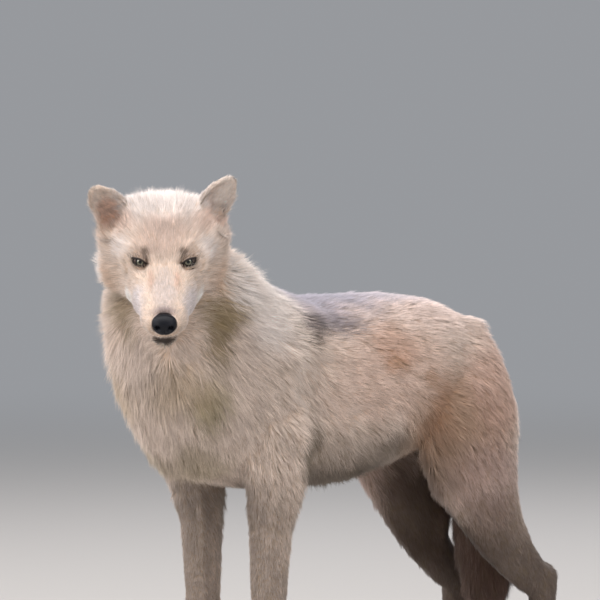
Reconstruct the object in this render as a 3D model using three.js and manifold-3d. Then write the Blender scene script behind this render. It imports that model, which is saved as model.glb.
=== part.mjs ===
// An arctic wolf as a still, life-size model: standing square on four paws, tail hanging, head turned to
// its left and lowered to look at the viewer. The solids reach out to the tips of the coat.
//
// Millimetres, +Z up, the nose towards -Y and the wolf's left side towards +X. The origin is on the floor,
// in the middle of the model's footprint box.

import * as THREE from "three";
import { mergeVertices } from "three/addons/utils/BufferGeometryUtils.js";
import Module from "manifold-3d";

const wasm = await Module();
wasm.setup();

// ---------------------------------------------------------------------------------------------------------
// Driving dimensions
// ---------------------------------------------------------------------------------------------------------

const GAP = 0.3; // clearance between neighbouring solids

const WITHERS = 812; // height of the coat over the shoulder blades
const BACK = 780; // height of the coat over the loin
const CROUP = 752;
const BRISKET = 428; // lowest line of the chest's coat
const TUCK_UP = 500; // height of the belly in front of the thighs
const CHEST_HALF_WIDTH = 150;
const LOIN_HALF_WIDTH = 132;

const FORE_TRACK = 86; // the forelegs stand this far from the middle plane
const HIND_TRACK = 96;
const ELBOW_HEIGHT = 438;
const WRIST_HEIGHT = 182;
const STIFLE_HEIGHT = 455;
const HOCK_HEIGHT = 212;

const EYE_SPACING = 80;
const EYE_RADIUS = 12.5;
const EAR_LENGTH = 80;

const HEAD_PIVOT = [7, -408, 892]; // the joint of skull and neck
const HEAD_YAW = 45.3; // degrees, to the wolf's left
const HEAD_PITCH = 30.4; // degrees, nose down

// ---------------------------------------------------------------------------------------------------------
// Shapes: closed bodies swept along a spine, joined and cut as solids
// ---------------------------------------------------------------------------------------------------------

const X = new THREE.Vector3(1, 0, 0);
const Y = new THREE.Vector3(0, 1, 0);
const v = (a) => new THREE.Vector3(...a);
const degrees = THREE.MathUtils.degToRad;
const mirrored = ([x, y, z], side) => [x * side, y, z];

// Reads one value of every station as a smooth function of t, from 0 at the first station to 1 at the last.
function along(stations, key) {
  const curve = new THREE.SplineCurve(stations.map((s, i) => new THREE.Vector2(i, s[key])));
  return (t) => curve.getPoint(t).y;
}

// A station is { at, wide, over, under }: the ring's centre, its half width along `across`, and its half
// depth on the upper (or front) and lower (or rear) side. Bodies run from the rump to the nose, and limbs
// downwards. Both ends close in a dome of the given length. `square` is the ring's exponent: 2 is an ellipse,
// and more than 2 is boxier.
function sweep(stations, { across = X, rings, sides, domes = [20, 20], square = 2, grow = 0 }) {
  const spine = new THREE.CatmullRomCurve3(stations.map((s) => v(s.at)), false, "catmullrom", 0.5);
  const [wide, over, under] = ["wide", "over", "under"].map((key) => along(stations, key));
  const positions = [];

  const addRing = (t, scale, shift) => {
    const tangent = spine.getTangent(t);
    const lateral = across.clone().addScaledVector(tangent, -across.dot(tangent)).normalize();
    const dorsal = new THREE.Vector3().crossVectors(tangent, lateral).normalize();
    const centre = spine.getPoint(t).addScaledVector(tangent, shift);
    for (let i = 0; i < sides; i++) {
      const angle = (2 * Math.PI * i) / sides;
      const c = Math.sign(Math.cos(angle)) * Math.abs(Math.cos(angle)) ** (2 / square);
      const s = Math.sign(Math.sin(angle)) * Math.abs(Math.sin(angle)) ** (2 / square);
      const depth = (s > 0 ? over(t) : under(t)) * scale + grow;
      const point = centre.clone();
      point.addScaledVector(lateral, (wide(t) * scale + grow) * c);
      point.addScaledVector(dorsal, depth * s);
      positions.push(...point.toArray());
    }
  };

  const domeSteps = (rings > 4 ? [62, 31] : [48]).map(degrees);
  for (const a of domeSteps) addRing(0, Math.cos(a), -(domes[0] + grow) * Math.sin(a));
  for (let i = 0; i <= rings; i++) addRing(i / rings, 1, 0);
  for (const a of domeSteps.toReversed()) addRing(1, Math.cos(a), (domes[1] + grow) * Math.sin(a));

  const count = positions.length / 3 / sides;
  const tip = (t, shift) => spine.getPoint(t).addScaledVector(spine.getTangent(t), shift).toArray();
  const first = positions.length / 3;
  positions.push(...tip(0, -domes[0] - grow), ...tip(1, domes[1] + grow));
  const index = [];
  for (let r = 0; r + 1 < count; r++)
    for (let i = 0; i < sides; i++) {
      const [a, b] = [r * sides + i, r * sides + ((i + 1) % sides)];
      index.push(a, b, b + sides, a, b + sides, a + sides);
    }
  const last = (count - 1) * sides;
  for (let i = 0; i < sides; i++) {
    index.push(first, (i + 1) % sides, i);
    index.push(first + 1, last + i, last + ((i + 1) % sides));
  }
  const geometry = new THREE.BufferGeometry();
  geometry.setAttribute("position", new THREE.Float32BufferAttribute(positions, 3));
  geometry.setIndex(index);
  return solid(geometry);
}

function solid(geometry) {
  const bare = geometry.clone();
  for (const name of ["normal", "uv"]) bare.deleteAttribute(name);
  const merged = mergeVertices(bare, 1e-3);
  const triVerts = new Uint32Array(merged.index.array);
  const mesh = () =>
    new wasm.Mesh({ numProp: 3, vertProperties: merged.attributes.position.array, triVerts });
  const made = new wasm.Manifold(mesh());
  if (made.volume() > 0) return made;
  for (let i = 0; i < triVerts.length; i += 3)
    [triVerts[i + 1], triVerts[i + 2]] = [triVerts[i + 2], triVerts[i + 1]];
  return new wasm.Manifold(mesh());
}

const join = (...solids) => solids.reduce((sum, s) => sum.add(s));

function ball(centre, radii, [across, around] = [20, 14]) {
  const geometry = new THREE.SphereGeometry(1, across, around);
  geometry.scale(...radii).translate(...centre);
  return solid(geometry);
}

// Parts a solid by a plane through `point`: [the side the normal points to, the other side].
function part(whole, point, normal) {
  const n = v(normal).normalize();
  const offset = n.dot(v(point));
  return [
    whole.trimByPlane(n.toArray(), offset + GAP / 2),
    whole.trimByPlane(n.clone().negate().toArray(), -offset + GAP / 2),
  ];
}

// The largest of a solid's separate pieces, without the slivers that a cut can leave.
const largest = (s) => s.decompose().sort((a, b) => b.volume() - a.volume())[0];

const wolf = new THREE.Group();
const headGroup = new THREE.Group();
headGroup.position.set(...HEAD_PIVOT);
headGroup.rotation.set(degrees(HEAD_PITCH), 0, degrees(HEAD_YAW), "ZYX");
headGroup.updateMatrix();
wolf.add(headGroup);

const coats = {
  cream: new THREE.MeshStandardMaterial({ color: 0xd9c9b2, roughness: 0.95 }),
  pale: new THREE.MeshStandardMaterial({ color: 0xe4d9c9, roughness: 0.95 }),
  horn: new THREE.MeshStandardMaterial({ color: 0x3a302a, roughness: 0.45 }),
  leather: new THREE.MeshStandardMaterial({ color: 0x16151a, roughness: 0.4 }),
  eye: new THREE.MeshStandardMaterial({ color: 0x8a7f4e, roughness: 0.1 }),
};

function node(name, whole, material, group = wolf) {
  const piece = largest(whole);
  const { numProp, vertProperties, triVerts, numVert } = piece.getMesh();
  const flat = new Float32Array(numVert * 3);
  for (let i = 0; i < numVert; i++)
    flat.set(vertProperties.subarray(i * numProp, i * numProp + 3), i * 3);
  const geometry = new THREE.BufferGeometry();
  geometry.setAttribute("position", new THREE.BufferAttribute(flat, 3));
  geometry.setIndex(new THREE.BufferAttribute(new Uint32Array(triVerts), 1));
  geometry.computeVertexNormals();
  const mesh = new THREE.Mesh(geometry, material);
  mesh.name = name;
  group.add(mesh);
}

// ---------------------------------------------------------------------------------------------------------
// Trunk and neck: one body from the rump, along the back and up the neck
// ---------------------------------------------------------------------------------------------------------

// A station of the level trunk from its side view: coat top, widest line, coat bottom, and half width.
const slice = (y, top, belt, bottom, wide) => ({
  at: [0, y, belt],
  wide,
  over: top - belt,
  under: belt - bottom,
});

const torso = (grow = 0) =>
  sweep(
    [
      slice(354, CROUP - 52, 616, TUCK_UP + 36, 84),
      slice(288, CROUP - 4, 632, TUCK_UP + 10, LOIN_HALF_WIDTH - 12),
      slice(205, BACK - 6, 634, TUCK_UP - 10, LOIN_HALF_WIDTH),
      slice(110, BACK, 620, BRISKET + 34, LOIN_HALF_WIDTH + 8),
      slice(10, BACK - 2, 606, BRISKET + 6, CHEST_HALF_WIDTH - 4),
      { at: [0, -80, 608], wide: CHEST_HALF_WIDTH, over: WITHERS - 640, under: 178 },
      { at: [0, -158, 628], wide: CHEST_HALF_WIDTH + 4, over: WITHERS - 648, under: 202 },
      { at: [0, -230, 674], wide: 160, over: 146, under: 248 },
      { at: [2, -302, 734], wide: 148, over: 124, under: 216 },
      { at: [6, -357, 799], wide: 133, over: 102, under: 176 },
      { at: [12, -402, 862], wide: 108, over: 78, under: 122 },
    ],
    { rings: 17, sides: 18, domes: [42, 46], square: 2.3, grow },
  );

// ---------------------------------------------------------------------------------------------------------
// Legs
// ---------------------------------------------------------------------------------------------------------

// One paw: four toes ahead of a broad pad, cut off flat where they stand on the floor.
const TOES = [-1.5, -0.5, 0.5, 1.5];
const toeTip = ([cx, cy], k, { length, width, height }) => [
  cx + (k * width) / 4.3,
  cy - length * (Math.abs(k) < 1 ? 0.5 : 0.36),
  height * 0.27,
];

function paw(centre, size, grow) {
  const [cx, cy] = centre;
  const { length, width, height } = size;
  const ring = (at, wide, over, under) => ({
    at,
    wide: wide * width,
    over: over * height,
    under: under * height,
  });
  const toes = TOES.map((k) => {
    const [x, tipY, tipZ] = toeTip(centre, k, size);
    const toeStations = [
      ring([cx + (k * width) / 5, cy, height * 0.52], 0.13, 0.34, 0.3),
      ring([x, tipY, tipZ], 0.14, 0.32, 0.36),
    ];
    return sweep(toeStations, { rings: 1, sides: 5, domes: [8, 13], grow });
  });
  const padStations = [
    ring([cx, cy + length * 0.3, height * 0.62], 0.33, 0.5, 0.7),
    ring([cx, cy - length * 0.2, height * 0.38], 0.41, 0.42, 0.48),
  ];
  return join(sweep(padStations, { rings: 1, sides: 8, domes: [12, 8], grow }), ...toes);
}

// A claw curves forward and down out of each toe.
function claw([x, y, z]) {
  const clawStations = [
    { at: [x, y + 2, z + 4], wide: 3.6, over: 4.6, under: 4.6 },
    { at: [x, y - 14, z + 2], wide: 3.2, over: 4, under: 4 },
    { at: [x, y - 24, z - 6], wide: 1.6, over: 2, under: 2 },
  ];
  return sweep(clawStations, { rings: 2, sides: 4, domes: [2, 3] });
}

const FORE_PAW = { length: 112, width: 92, height: 56 };
const HIND_PAW = { length: 104, width: 82, height: 52 };

const foreY = { 1: -232, [-1]: -222 };
const hindY = { 1: 512, [-1]: 484 };
// The right knee stands this much further back over its foot than the left one.
const hindLean = { 1: 0, [-1]: 42 };

const forePawCentre = (side) => mirrored([FORE_TRACK, foreY[side] - 42, 0], side);
const hindPawCentre = (side) => mirrored([HIND_TRACK, hindY[side] - 48, 0], side);

function foreleg(side, grow = 0) {
  const x = FORE_TRACK;
  const at = (px, dy, pz) => mirrored([px, foreY[side] + dy, pz], side);
  const limb = sweep(
    [
      { at: at(78, 50, 690), wide: 46, over: 72, under: 62 },
      { at: at(93, 16, 610), wide: 60, over: 96, under: 88 },
      { at: at(100, 2, 530), wide: 64, over: 96, under: 78 },
      { at: at(x + 14, 8, ELBOW_HEIGHT + 20), wide: 53, over: 74, under: 54 },
      { at: at(x + 4, 4, ELBOW_HEIGHT - 50), wide: 42, over: 47, under: 40 },
      { at: at(x + 1, 0, 320), wide: 35, over: 38, under: 39 },
      { at: at(x - 1, 0, 245), wide: 32, over: 33, under: 33 },
      { at: at(x - 2, -2, WRIST_HEIGHT), wide: 33, over: 34, under: 33 },
      { at: at(x - 1, -3, 118), wide: 30, over: 28, under: 32 },
      { at: at(x, -14, 62), wide: 34, over: 29, under: 32 },
      { at: at(x, -24, 40), wide: 35, over: 30, under: 30 },
    ],
    { rings: 12, sides: 9, domes: [46, 12], grow },
  );
  return join(limb, paw(forePawCentre(side), FORE_PAW, grow)).trimByPlane([0, 0, 1], grow ? -100 : 0);
}

function hindleg(side, grow = 0) {
  const x = HIND_TRACK;
  const at = (px, dy, pz) => {
    const share = THREE.MathUtils.clamp((pz - HOCK_HEIGHT) / (STIFLE_HEIGHT - HOCK_HEIGHT), 0, 1);
    return mirrored([px, hindY[side] + dy + hindLean[side] * share, pz], side);
  };
  const limb = sweep(
    [
      { at: at(66, -213, 690), wide: 46, over: 80, under: 74 },
      { at: at(82, -214, 620), wide: 58, over: 126, under: 112 },
      { at: at(90, -214, 540), wide: 63, over: 152, under: 134 },
      { at: at(x, -198, STIFLE_HEIGHT), wide: 57, over: 130, under: 116 },
      { at: at(x + 2, -164, STIFLE_HEIGHT - 68), wide: 47, over: 90, under: 82 },
      { at: at(x, -104, STIFLE_HEIGHT - 140), wide: 37, over: 76, under: 40 },
      { at: at(x, -46, HOCK_HEIGHT + 38), wide: 29, over: 52, under: 32 },
      { at: at(x, -8, HOCK_HEIGHT), wide: 27, over: 36, under: 48 },
    ],
    { rings: 9, sides: 9, domes: [44, 14], grow },
  );
  const cannon = sweep(
    [
      { at: at(x, -8, HOCK_HEIGHT + 14), wide: 26, over: 30, under: 46 },
      { at: at(x, -4, HOCK_HEIGHT - 30), wide: 25, over: 28, under: 36 },
      { at: at(x, -4, HOCK_HEIGHT - 90), wide: 24, over: 23, under: 26 },
      { at: at(x, -14, 72), wide: 28, over: 24, under: 27 },
      { at: at(x, -26, 36), wide: 32, over: 27, under: 27 },
    ],
    { rings: 4, sides: 9, domes: [12, 12], grow },
  );
  const foot = paw(hindPawCentre(side), HIND_PAW, grow);
  return join(limb, cannon, foot).trimByPlane([0, 0, 1], grow ? -100 : 0);
}

// ---------------------------------------------------------------------------------------------------------
// Tail
// ---------------------------------------------------------------------------------------------------------

const tail = (grow = 0) =>
  sweep(
    [
      { at: [0, 358, 668], wide: 36, over: 34, under: 34 },
      { at: [0, 404, 628], wide: 44, over: 40, under: 42 },
      { at: [0, 430, 550], wide: 52, over: 46, under: 48 },
      { at: [0, 438, 440], wide: 62, over: 54, under: 54 },
      { at: [4, 446, 330], wide: 66, over: 56, under: 56 },
      { at: [9, 450, 230], wide: 58, over: 50, under: 50 },
      { at: [10, 450, 172], wide: 38, over: 34, under: 34 },
    ],
    { rings: 7, sides: 10, domes: [24, 46], grow },
  );

// ---------------------------------------------------------------------------------------------------------
// Head, in its own frame: the origin at the joint with the neck, the nose towards -Y
// ---------------------------------------------------------------------------------------------------------

function headSlice(y, top, belt, bottom, wide) {
  return { at: [0, y, belt], wide, over: top - belt, under: belt - bottom };
}

// Cranium, cheeks with their ruffs, and muzzle.
const skull = (grow = 0) =>
  sweep(
    [
      headSlice(14, 80, -7, -92, 98),
      headSlice(-25, 102, -7, -108, 116),
      headSlice(-62, 106, -7, -110, 121),
      headSlice(-94, 95, -7, -98, 110),
      headSlice(-124, 76, -7, -78, 84),
      headSlice(-152, 54, -8, -58, 61),
      headSlice(-180, 35, -9, -50, 51),
      headSlice(-214, 23, -11, -46, 43),
      headSlice(-248, 14, -12, -40, 37),
      headSlice(-272, 5, -12, -30, 28),
    ],
    { rings: 13, sides: 18, domes: [30, 8], square: 2.45, grow },
  );

function lowerJaw(grow = 0) {
  return sweep(
    [
      headSlice(-110, -20, -52, -86, 54),
      headSlice(-150, -24, -46, -74, 43),
      headSlice(-190, -26, -44, -69, 35),
      headSlice(-225, -28, -42, -64, 29),
      headSlice(-250, -28, -40, -58, 23),
    ],
    { rings: 3, sides: 10, domes: [12, 9], grow },
  );
}

const nosePad = (grow = 0) =>
  sweep(
    [
      { at: [0, -257, -4], wide: 15, over: 11, under: 10 },
      { at: [0, -270, -5], wide: 20.5, over: 15, under: 14 },
      { at: [0, -279, -6], wide: 19, over: 14, under: 14 },
    ],
    { rings: 3, sides: 12, domes: [3, 6], square: 2.4, grow },
  );
const nostril = (side) => ball(mirrored([11, -284, -8], side), [5, 6, 4.5], [6, 4]);

const EYE_AT = [EYE_SPACING / 2, -148, 37];
const eye = (side, grow = 0) => ball(mirrored(EYE_AT, side), Array(3).fill(EYE_RADIUS + grow), [8, 6]);
// The dip between brow and cheek that leaves the front of the eye free.
const socket = (side) => ball(mirrored([42, -168, 38], side), [15, 15, 9], [8, 5]);

// A cupped ear: a flattened cone, hollowed from its open side. The base spreads outwards, down the side of the
// head, and the hollow runs on into the skull.
const EARS = {
  1: { base: [70, -54, 69], turn: 26, lean: 40, tilt: -2, spread: 4, bowl: [15, -17, 15] },
  [-1]: { base: [73, -58, 66], turn: 6, lean: 34, tilt: 8, spread: 13, bowl: [10, -20, 18] },
};

function posedEar(side, made) {
  const { base, turn, lean, tilt } = EARS[side];
  const pose = new THREE.Matrix4().makeTranslation(...mirrored(base, side));
  pose.multiply(new THREE.Matrix4().makeRotationZ(degrees(turn * side)));
  pose.multiply(new THREE.Matrix4().makeRotationY(degrees(lean * side)));
  pose.multiply(new THREE.Matrix4().makeRotationX(degrees(tilt)));
  return made.transform(pose.elements);
}

function earLeaf(side, scale, shift) {
  const ring = (z, x, wide, over, under) => ({
    at: [x * side, shift, z],
    wide: wide * scale,
    over: over * scale,
    under: under * scale,
  });
  const { spread } = EARS[side];
  const stations = [
    ring(-22, spread, 34, 22, 22),
    ring(14, spread * 0.4, 37, 18, 20),
    ring(EAR_LENGTH * 0.56, 0, 33, 13, 15),
    ring(EAR_LENGTH * 0.84, 0, 20, 7, 9),
  ];
  return sweep(stations, { rings: 4, sides: 10, domes: [6, 13] });
}

const earHollow = (side) => posedEar(side, earLeaf(side, 0.84, -9).translate([0, 0, -1]));
// The bowl in front of the ear's foot.
const concha = (side) =>
  posedEar(side, ball(mirrored(EARS[side].bowl, side), [29, 24, 34], [10, 6]));
const ear = (side) => posedEar(side, earLeaf(side, 1, 0)).subtract(earHollow(side));

// ---------------------------------------------------------------------------------------------------------
// Assembly: joins and thin cuts
// ---------------------------------------------------------------------------------------------------------

// The share of the torso that goes with a leg: an upright oval seen from the side, from near the middle plane
// outwards.
const zone = (side, { y, z, wide, high }, grow) => {
  const end = (x) => ({ at: [x * side, y, z], wide, over: high, under: high });
  return sweep([end(46), end(240)], { across: Y, rings: 1, sides: 14, domes: [26, 10], grow });
};
const shoulderZone = (side, grow = 0) =>
  zone(side, { y: foreY[side] + 12, z: 582, wide: 114, high: 160 }, grow);
const thighZone = (side, grow = 0) =>
  zone(side, { y: hindY[side] - 216, z: 574, wide: 162, high: 144 }, grow);

const bothSides = [1, -1];
const shoulderZones = (grow) => join(...bothSides.map((side) => shoulderZone(side, grow)));
const thighZones = (grow) => join(...bothSides.map((side) => thighZone(side, grow)));
const headCutter = join(skull(GAP), lowerJaw(GAP)).transform(headGroup.matrix.elements);
const bare = torso()
  .subtract(shoulderZones(GAP))
  .subtract(thighZones(GAP))
  .subtract(tail(GAP))
  .subtract(headCutter);

// The line from the crest of the withers to the breastbone parts neck from trunk.
const [neck, trunk] = part(bare, [0, -314, 695], [0, -0.735, 0.68]);
node("trunk", trunk, coats.cream);
node("neck", neck, coats.pale);
node("tail", tail(), coats.cream);

// A leg with its share of the torso, clear of the rest of it.
const quarter = (leg, share) =>
  join(leg, torso().intersect(share)).subtract(torso(GAP).subtract(share));

const SIDES = { left: 1, right: -1 };
for (const [word, side] of Object.entries(SIDES)) {
  const forequarter = quarter(foreleg(side), shoulderZone(side));
  const [shoulder, belowElbow] = part(forequarter, [0, 0, ELBOW_HEIGHT - 8], [0, 0.12, 1]);
  const [forearm, belowWrist] = part(belowElbow, [0, 0, WRIST_HEIGHT], [0, 0, 1]);
  const [pastern, forePaw] = part(belowWrist, [0, foreY[side], 66], [0, 0.35, 1]);
  node(`shoulder_${word}`, shoulder, coats.cream);
  node(`forearm_${word}`, forearm, coats.pale);
  node(`fore_pastern_${word}`, pastern, coats.pale);
  node(`fore_paw_${word}`, forePaw, coats.pale);

  const hindquarter = quarter(hindleg(side), thighZone(side)).subtract(tail(GAP));
  const kneeCut = [0, hindY[side] - 160, STIFLE_HEIGHT - 48];
  const [thigh, belowKnee] = part(hindquarter, kneeCut, [0, -0.5, 1]);
  const [shank, belowHock] = part(belowKnee, [0, hindY[side], HOCK_HEIGHT + 4], [0, -0.35, 1]);
  const [cannon, hindPaw] = part(belowHock, [0, hindY[side], 62], [0, 0.35, 1]);
  node(`thigh_${word}`, thigh, coats.cream);
  node(`shank_${word}`, shank, coats.pale);
  node(`hock_${word}`, cannon, coats.pale);
  node(`hind_paw_${word}`, hindPaw, coats.pale);

  const paws = {
    fore: [forePawCentre(side), FORE_PAW, foreleg(side, GAP)],
    hind: [hindPawCentre(side), HIND_PAW, hindleg(side, GAP)],
  };
  for (const [end, [centre, size, cutter]] of Object.entries(paws))
    TOES.forEach((k, i) => {
      const horn = claw(toeTip(centre, k, size)).subtract(cutter);
      node(`${end}_claw_${word}_${i + 1}`, horn, coats.horn);
    });
}

const sockets = join(eye(1, GAP), eye(-1, GAP), socket(1), socket(-1), nosePad(GAP));
const bowls = join(concha(1), concha(-1));
node("head", skull().subtract(sockets).subtract(bowls), coats.pale, headGroup);
node("jaw", lowerJaw().subtract(skull(GAP)).subtract(nosePad(GAP)), coats.pale, headGroup);
node("nose", nosePad().subtract(join(nostril(1), nostril(-1))), coats.leather, headGroup);
for (const [word, side] of Object.entries(SIDES)) {
  node(`eye_${word}`, eye(side), coats.eye, headGroup);
  node(`ear_${word}`, ear(side).subtract(skull(GAP)), coats.pale, headGroup);
}

wolf.updateMatrixWorld(true);
const footprint = new THREE.Box3().setFromObject(wolf, true);
const middle = footprint.getCenter(new THREE.Vector3());
wolf.position.set(-middle.x, -middle.y, -footprint.min.z);

export default wolf;
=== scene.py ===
import math

import bmesh
import bpy
import numpy as np
from mathutils import Matrix, Vector, kdtree


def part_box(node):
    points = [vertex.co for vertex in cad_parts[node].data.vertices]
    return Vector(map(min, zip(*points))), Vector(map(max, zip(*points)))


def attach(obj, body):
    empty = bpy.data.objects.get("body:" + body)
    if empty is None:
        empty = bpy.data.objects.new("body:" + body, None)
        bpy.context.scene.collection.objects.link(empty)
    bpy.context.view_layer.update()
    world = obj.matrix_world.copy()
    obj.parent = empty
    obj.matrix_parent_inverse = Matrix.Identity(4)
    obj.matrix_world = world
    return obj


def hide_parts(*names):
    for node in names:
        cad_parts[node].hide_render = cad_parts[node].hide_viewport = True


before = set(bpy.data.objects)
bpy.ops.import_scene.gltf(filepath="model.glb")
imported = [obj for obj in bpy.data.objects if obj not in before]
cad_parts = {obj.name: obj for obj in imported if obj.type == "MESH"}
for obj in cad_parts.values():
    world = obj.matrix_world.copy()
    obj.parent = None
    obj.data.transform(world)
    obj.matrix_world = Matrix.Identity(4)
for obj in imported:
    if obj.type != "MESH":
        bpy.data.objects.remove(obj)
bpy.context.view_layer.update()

# ----------------------------------------
# Camera. A long lens, 6 m off the wolf's left shoulder and a little above its back, so that the legs run out
# of the frame at the wrists.
# ----------------------------------------

CAMERA_AZIMUTH = math.radians(43)
CAMERA_HEIGHT = math.radians(2.7)
CAMERA_DISTANCE = 6.0
AIM_HEIGHT = 0.767
AIM_BEHIND_FOREFEET = 0.212
FOCAL_LENGTH = 201.6  # mm, before a sensor 36 mm wide
SENSOR_WIDTH = 36

fore_paws = [sum(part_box(f"fore_paw_{side}"), Vector()) / 2 for side in ("left", "right")]
between_forefeet = (fore_paws[0] + fore_paws[1]) / 2
MIDDLE = between_forefeet.x
aim = Vector((MIDDLE, between_forefeet.y + AIM_BEHIND_FOREFEET, AIM_HEIGHT))
to_camera = Vector((
    math.sin(CAMERA_AZIMUTH) * math.cos(CAMERA_HEIGHT),
    -math.cos(CAMERA_AZIMUTH) * math.cos(CAMERA_HEIGHT),
    math.sin(CAMERA_HEIGHT),
))


def add_object(name, data):
    """A new object in the scene."""
    made = bpy.data.objects.new(name, data)
    bpy.context.scene.collection.objects.link(made)
    return made


camera = add_object("camera", bpy.data.cameras.new("camera"))
camera.data.lens = FOCAL_LENGTH
camera.data.sensor_width = SENSOR_WIDTH
camera.data.clip_end = 200
camera.location = aim + to_camera * CAMERA_DISTANCE
camera.rotation_mode = "QUATERNION"
camera.rotation_quaternion = (-to_camera).to_track_quat("-Z", "Y")
bpy.context.scene.camera = camera

# ----------------------------------------
# Studio. A matt painted floor under an even surround, with one broad soft lamp overhead, three that fill the
# front and both sides from above, and a weak one behind for the outline of the coat.
# ----------------------------------------


def linear(hex_colour):
    """An sRGB hex colour as linear red, green, blue and an alpha of 1."""
    shares = [int(hex_colour[i : i + 2], 16) / 255 for i in (1, 3, 5)]
    return tuple(s / 12.92 if s <= 0.04045 else ((s + 0.055) / 1.055) ** 2.4 for s in shares) + (1.0,)


def add_node(tree, kind, inputs=(), **settings):
    """Adds a shader node; inputs maps its sockets to values or to the sockets that feed them."""
    made = tree.nodes.new("ShaderNode" + kind)
    for name, value in settings.items():
        setattr(made, name, value)
    for socket, value in dict(inputs).items():
        if isinstance(value, bpy.types.NodeSocket):
            tree.links.new(value, made.inputs[socket])
        else:
            made.inputs[socket].default_value = value
    return made


def new_material(name):
    """An empty material with its node tree and principled shader."""
    made = bpy.data.materials.new(name)
    made.use_nodes = True
    return made, made.node_tree, made.node_tree.nodes["Principled BSDF"]


SURROUND_TONE = "#dfe2e8"
SURROUND_STRENGTH = 0.42
FLOOR_HALF_WIDTH = 40
# Matt emulsion, rolled on: no highlight, and barely visible changes of tone.
floor_paint, tree, shader = new_material("matt_floor_paint")
rolling = add_node(tree, "TexNoise", {"Scale": 1.6, "Detail": 3})
floor_tones = add_node(
    tree, "Mix",
    {"Factor": rolling.outputs["Fac"], "A": linear("#bfbcb8"), "B": linear("#c8c5c1")},
    data_type="RGBA",
)
tree.links.new(floor_tones.outputs["Result"], shader.inputs["Base Color"])
shader.inputs["Roughness"].default_value = 0.85
# From 2 m out the floor fades to the surround's own tone, so that no edge shows between them.
away = add_node(tree, "VectorMath", {0: add_node(tree, "TexCoord").outputs["Object"]}, operation="LENGTH")
fade = add_node(
    tree, "MapRange", {"Value": away.outputs["Value"], "From Min": 2.0, "From Max": 9.0},
    interpolation_type="SMOOTHERSTEP",
)
haze = add_node(tree, "Emission", {"Color": linear(SURROUND_TONE), "Strength": SURROUND_STRENGTH})
faded = add_node(
    tree, "MixShader", {0: fade.outputs["Result"], 1: shader.outputs["BSDF"], 2: haze.outputs["Emission"]},
)
tree.links.new(faded.outputs["Shader"], tree.nodes["Material Output"].inputs["Surface"])
mesh = bpy.data.meshes.new("floor")
corners = [(x * FLOOR_HALF_WIDTH, y * FLOOR_HALF_WIDTH, 0) for x, y in ((-1, -1), (1, -1), (1, 1), (-1, 1))]
mesh.from_pydata(corners, [], [(0, 1, 2, 3)])
mesh.materials.append(floor_paint)
floor = add_object("floor", mesh)

surround = bpy.data.worlds.new("surround")
surround.use_nodes = True
background = surround.node_tree.nodes["Background"]
background.inputs["Color"].default_value = linear(SURROUND_TONE)
background.inputs["Strength"].default_value = SURROUND_STRENGTH
bpy.context.scene.world = surround
bpy.context.scene.view_settings.view_transform = "Standard"


def soft_lamp(name, azimuth, elevation, distance, size, watts, colour):
    """A square area lamp that looks at the middle of the wolf from a direction round it."""
    a, e = math.radians(azimuth), math.radians(elevation)
    away = Vector((math.sin(a) * math.cos(e), -math.cos(a) * math.cos(e), math.sin(e)))
    lamp = add_object(name, bpy.data.lights.new(name, "AREA"))
    lamp.data.size = size
    lamp.data.energy = watts
    lamp.data.color = linear(colour)[:3]
    lamp.location = Vector((MIDDLE, 0, 0.6)) + away * distance
    lamp.rotation_mode = "QUATERNION"
    lamp.rotation_quaternion = (-away).to_track_quat("-Z", "Y")


soft_lamp("overhead", 10, 76, 4.0, 2.8, 110, "#fffaf4")
soft_lamp("front", -8, 32, 5.0, 2.4, 116, "#fff8f2")
soft_lamp("far_side", -70, 28, 5.0, 2.4, 60, "#faf8ff")
soft_lamp("side", 86, 42, 5.0, 2.6, 95, "#fff8f2")
soft_lamp("behind", 200, 38, 4.5, 2.0, 50, "#f2f4ff")

# ----------------------------------------
# Skin. One closed skin over head, neck, trunk, legs and tail. It lies under the coat by the coat's depth,
# which the table below gives for places all over the body, with the way the hair lies there.
# ----------------------------------------

MM = 0.001
HEAD_YAW = math.radians(45.3)
HEAD_PITCH = math.radians(30.4)
EYE_IN_HEAD = Vector((0, -148, 37)) * MM

eyes = {side: sum(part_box(f"eye_{side}"), Vector()) / 2 for side in ("left", "right")}
head_turn = Matrix.Rotation(HEAD_YAW, 4, "Z") @ Matrix.Rotation(HEAD_PITCH, 4, "X")
head_pivot = (eyes["left"] + eyes["right"]) / 2 - (head_turn @ EYE_IN_HEAD)
HEAD = Matrix.Translation(head_pivot) @ head_turn

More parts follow.
